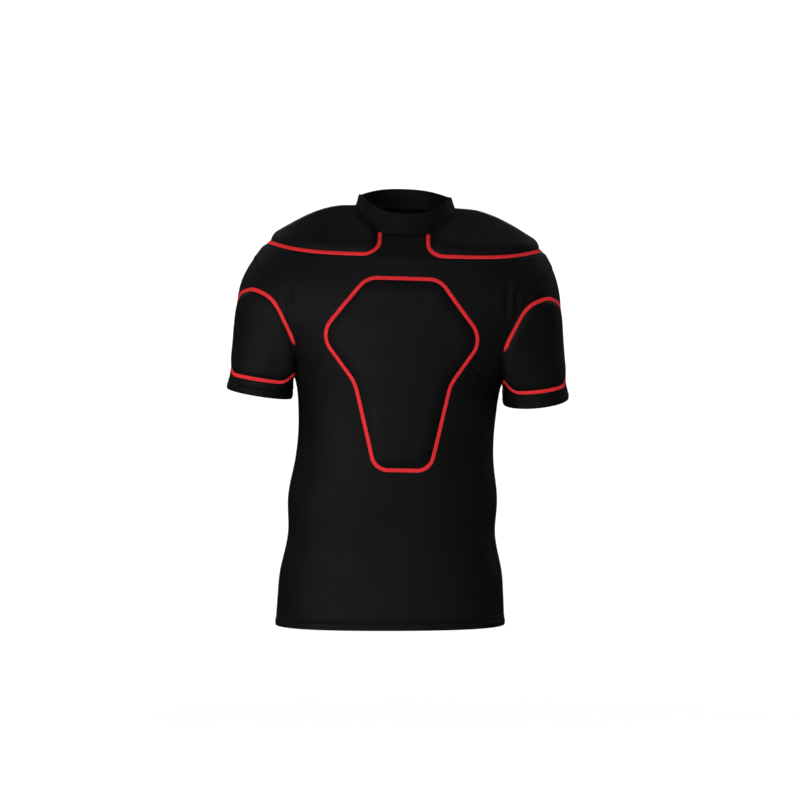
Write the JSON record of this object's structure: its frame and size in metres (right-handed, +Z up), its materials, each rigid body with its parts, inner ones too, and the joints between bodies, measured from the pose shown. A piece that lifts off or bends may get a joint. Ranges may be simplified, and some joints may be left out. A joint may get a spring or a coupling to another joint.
{
  "type": "rugby shoulder pad top",
  "caption": "Tight short-sleeved rugby protection top in worn form, with a high collar and soft pads on the shoulders, upper arms and breastbone.",
  "frame": {"origin": "between the shoulders at the base of the neck, where the wearer's shoulders hold the top up", "axes": "+Z up along the body, -Y out of the chest, +X towards the wearer's left sleeve"},
  "size_m": [0.5466, 0.2608, 0.7023],
  "materials": {
    "black_knit": "smooth stretch knit with a faint sheen",
    "collar_knit": "stretch knit folded double",
    "pad_cover": "stretch knit over soft foam",
    "red_thread": "flat seam in bulked red thread"
  },
  "bodies": {
    "root": {"front_panel": "black_knit", "back_panel": "black_knit", "sleeve_left": "black_knit", "sleeve_right": "black_knit", "collar": "collar_knit", "shoulder_pad_left": "pad_cover", "shoulder_pad_right": "pad_cover", "sleeve_pad_left": "pad_cover", "sleeve_pad_right": "pad_cover", "sternum_pad": "pad_cover"}
  },
  "joints": []
}
